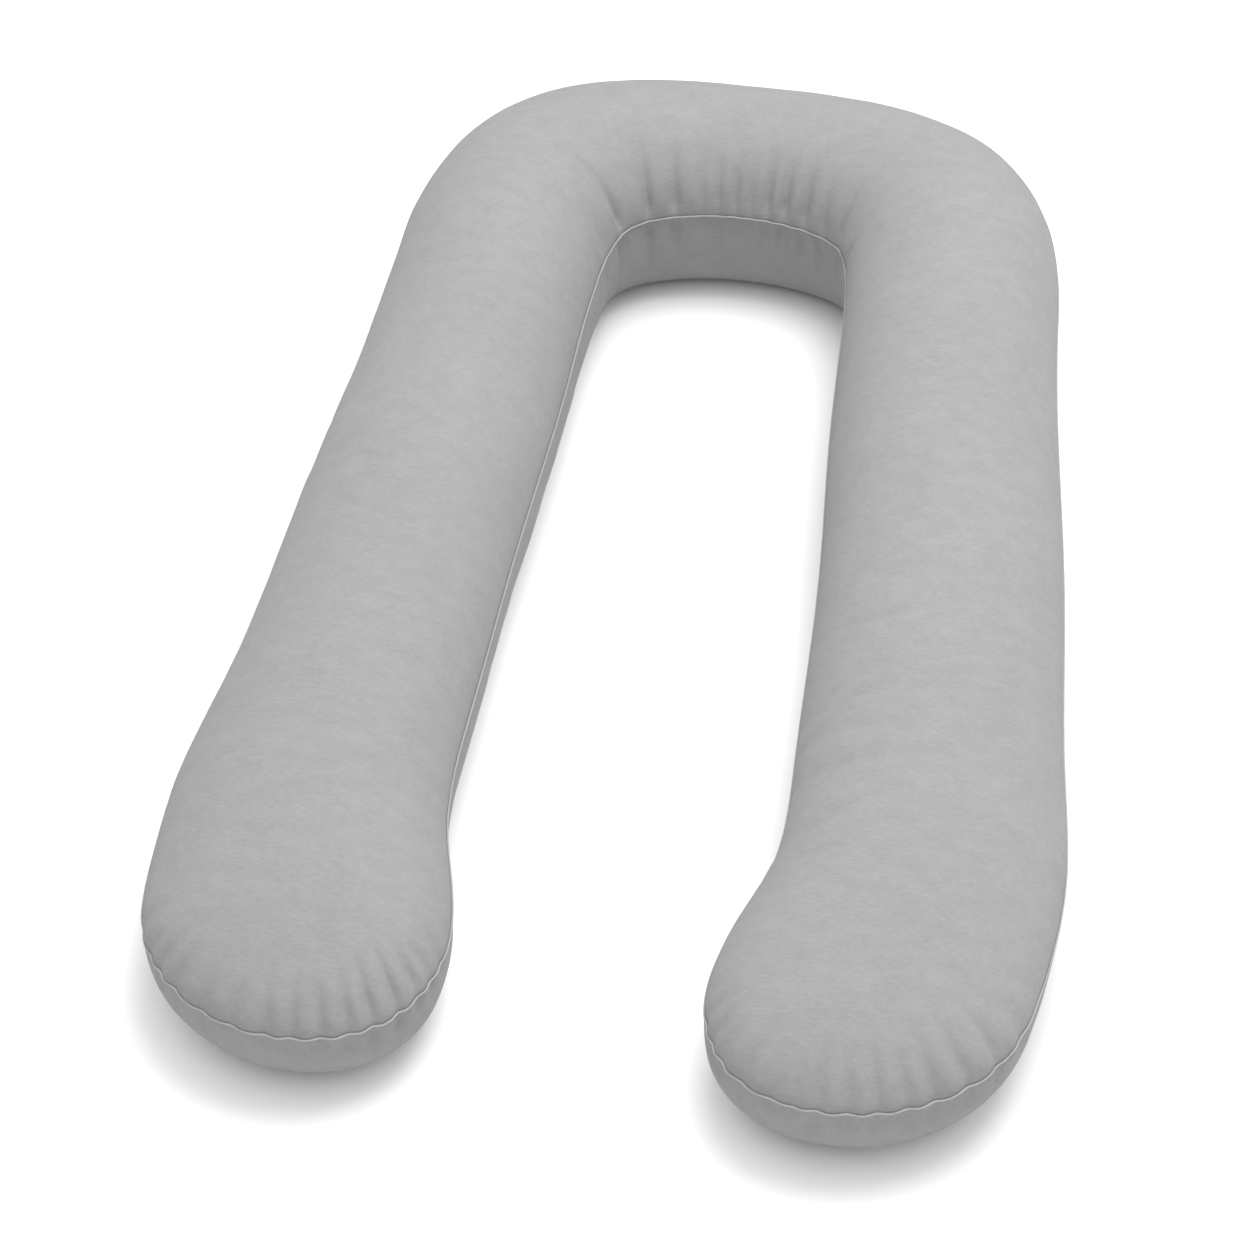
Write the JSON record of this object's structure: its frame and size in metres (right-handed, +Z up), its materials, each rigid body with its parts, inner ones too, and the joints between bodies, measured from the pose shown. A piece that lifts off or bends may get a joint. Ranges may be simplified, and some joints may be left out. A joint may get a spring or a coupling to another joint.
{
  "type": "pregnancy pillow",
  "caption": "U-shaped pregnancy pillow: one long stuffed cloth tube bent round at the head end, with rounded feet that turn inwards and a fine welted seam all round.",
  "frame": {"origin": "on the resting surface, below the middle of the pillow's outline", "axes": "+Z up from the resting surface, +Y along the legs from the feet to the bend, +X from the left leg to the right leg as seen from the feet"},
  "size_m": [0.8423, 1.4063, 0.2232],
  "materials": {
    "pillow_cloth": "matte heathered light grey jersey",
    "welt_cloth": "matte light grey self-fabric"
  },
  "bodies": {
    "root": {"pillow": "pillow_cloth", "seam_welt": "welt_cloth"}
  },
  "joints": []
}
